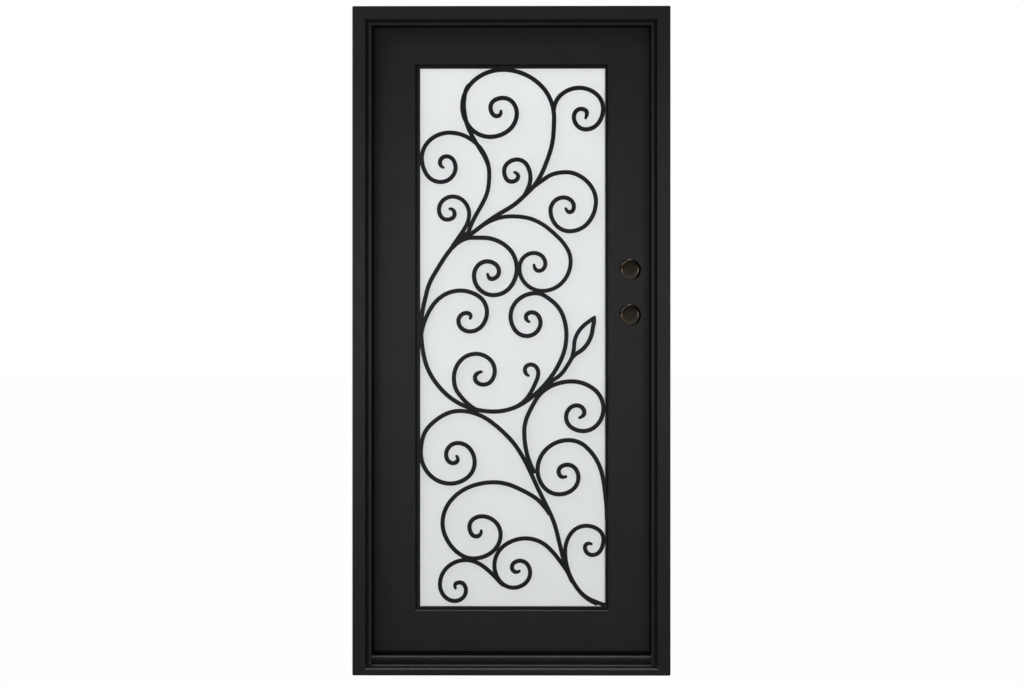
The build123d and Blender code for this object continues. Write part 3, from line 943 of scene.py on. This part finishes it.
def makeCamera(look):
    # aims at the point of the frame's front that the middle of the photograph shows
    data = bpy.data.cameras.new("camera")
    camera = bpy.data.objects.new("camera", data)
    bpy.context.scene.collection.objects.link(camera)
    scale = look["millimetresPerPixel"] * mm
    target = Vector(((look["imageWidth"] / 2 - look["centreColumn"]) * scale, cadLow[1],
                     (look["floorRow"] - look["imageHeight"] / 2) * scale))
    camera.location = target + Vector((look["right"], -look["distance"], 0))
    camera.rotation_euler = (target - camera.location).to_track_quat("-Z", "Y").to_euler()
    reach = (target - camera.location).length
    data.sensor_width = look["sensorMillimetres"]
    data.lens = data.sensor_width * reach / (look["imageWidth"] * scale)
    data.clip_end = look["farthest"]
    bpy.context.scene.camera = camera


makeCamera(viewpoint)


# Studio: white floor and backdrop. The room is dimmer in front of the door, behind the camera, so the black
# steel mirrors less of it there. A long key strip stands high on the left, a broad lamp hangs high overhead,
# a small one with a narrow beam stands at each side in front, and one glows behind the glass.
studio = {
    "worldStrength": 0.2,
    "frontMirrored": 0.12,
    # how far towards the back a mirrored direction points where the room starts and ends brightening
    "brightensFrom": 0.1,
    "brightensTo": 0.8,
    "floorSize": 400.0,
    "floorDropMillimetres": 0.5,
    "floorColour": "#8c8c8c",
    "floorWhite": 0.985,
    "spreadDegrees": {"key": 76, "leftSide": 58, "rightSide": 58},
    "rollDegrees": {"key": 48},
    "lamps": [
        # name, place, aim, width, height, watts
        ("key", (-2.4, -2.3, 3.7), (0.3, 0.0, 1.0), 3.0, 0.45, 8.5),
        ("overhead", (0.2, -0.75, 7.0), (0.1, -0.05, 0.0), 3.2, 0.9, 160.0),
        ("leftSide", (-1.35, -2.35, 1.15), (0.0, 0.0, 1.12), 0.6, 0.6, 1.5),
        ("rightSide", (1.4, -2.35, 1.15), (0.0, 0.0, 1.12), 0.6, 0.6, 1.5),
        ("behind", (0.0, 4.0, 3.6), (0.0, 0.0, 1.0), 4.0, 2.0, 45.0),
    ],
}


def makeFloor(look):
    # a plane whose paint shows white to the camera, mirrors and glass, but for the share that keeps the
    # shadow
    half = look["floorSize"] / 2
    mesh = bpy.data.meshes.new("floor")
    corners = [(-half, -half, 0), (half, -half, 0), (half, half, 0), (-half, half, 0)]
    mesh.from_pydata(corners, [], [(0, 1, 2, 3)])
    floor = bpy.data.objects.new("floor", mesh)
    floor.location.z = -look["floorDropMillimetres"] * mm
    bpy.context.scene.collection.objects.link(floor)
    paint = newMaterial("studioFloor")
    path = addNode(paint, "ShaderNodeLightPath")
    mirrored = addNode(paint, "ShaderNodeMath", {"operation": "MAXIMUM"},
                       {0: (path, "Is Glossy Ray"), 1: (path, "Is Transmission Ray")})
    seen = addNode(paint, "ShaderNodeMath", {"operation": "MAXIMUM"},
                   {0: (path, "Is Camera Ray"), 1: (mirrored, 0)})
    share = addNode(paint, "ShaderNodeMath", {"operation": "MULTIPLY", 1: look["floorWhite"]}, {0: (seen, 0)})
    matte = addNode(paint, "ShaderNodeBsdfDiffuse", {"Color": linearFromHex(look["floorColour"])})
    white = addNode(paint, "ShaderNodeEmission", {"Color": (1, 1, 1, 1), "Strength": 1.0})
    both = addNode(paint, "ShaderNodeMixShader", links={0: (share, 0), 1: (matte, 0), 2: (white, 0)})
    addNode(paint, "ShaderNodeOutputMaterial", links={"Surface": (both, 0)})
    setFinish(floor, paint)


def makeWorld(look):
    # strength: 1 to the camera and through glass; mirrored, from the front's up to 1 at the backdrop
    world = bpy.data.worlds.new("studioWorld")
    bpy.context.scene.world = world
    world.use_nodes = True
    world.node_tree.nodes.clear()
    path = addNode(world, "ShaderNodeLightPath")
    place = addNode(world, "ShaderNodeTexCoord")
    direction = addNode(world, "ShaderNodeSeparateXYZ", links={0: (place, "Generated")})
    backdrop = addNode(world, "ShaderNodeMapRange",
                       {"From Min": look["brightensFrom"], "From Max": look["brightensTo"],
                        "To Min": look["frontMirrored"], "To Max": 1.0},
                       {"Value": (direction, "Y")})
    mirrored = addNode(world, "ShaderNodeMix", {"data_type": "FLOAT", 2: look["worldStrength"]},
                       {0: (path, "Is Glossy Ray"), 3: (backdrop, "Result")})
    seen = addNode(world, "ShaderNodeMath", {"operation": "MAXIMUM"},
                   {0: (path, "Is Camera Ray"), 1: (path, "Is Transmission Ray")})
    strength = addNode(world, "ShaderNodeMath", {"operation": "MAXIMUM"}, {0: (seen, 0), 1: (mirrored, 0)})
    glow = addNode(world, "ShaderNodeBackground", {"Color": (1, 1, 1, 1)}, {"Strength": (strength, 0)})
    addNode(world, "ShaderNodeOutputWorld", links={"Surface": (glow, 0)})


def makeLamps(look):
    for name, place, aim, width, height, watts in look["lamps"]:
        data = bpy.data.lights.new(name, "AREA")
        data.shape = "RECTANGLE"
        data.size = width
        data.size_y = height
        data.energy = watts
        data.spread = math.radians(look["spreadDegrees"].get(name, 180))
        lamp = bpy.data.objects.new(name, data)
        lamp.location = place
        roll = Quaternion((0, 0, 1), math.radians(look["rollDegrees"].get(name, 0)))
        lamp.rotation_euler = ((Vector(aim) - Vector(place)).to_track_quat("-Z", "Y") @ roll).to_euler()
        lamp.visible_camera = False
        bpy.context.scene.collection.objects.link(lamp)


makeFloor(studio)
makeWorld(studio)
makeLamps(studio)
bpy.context.scene.view_settings.view_transform = "Standard"
print("studio and camera made")
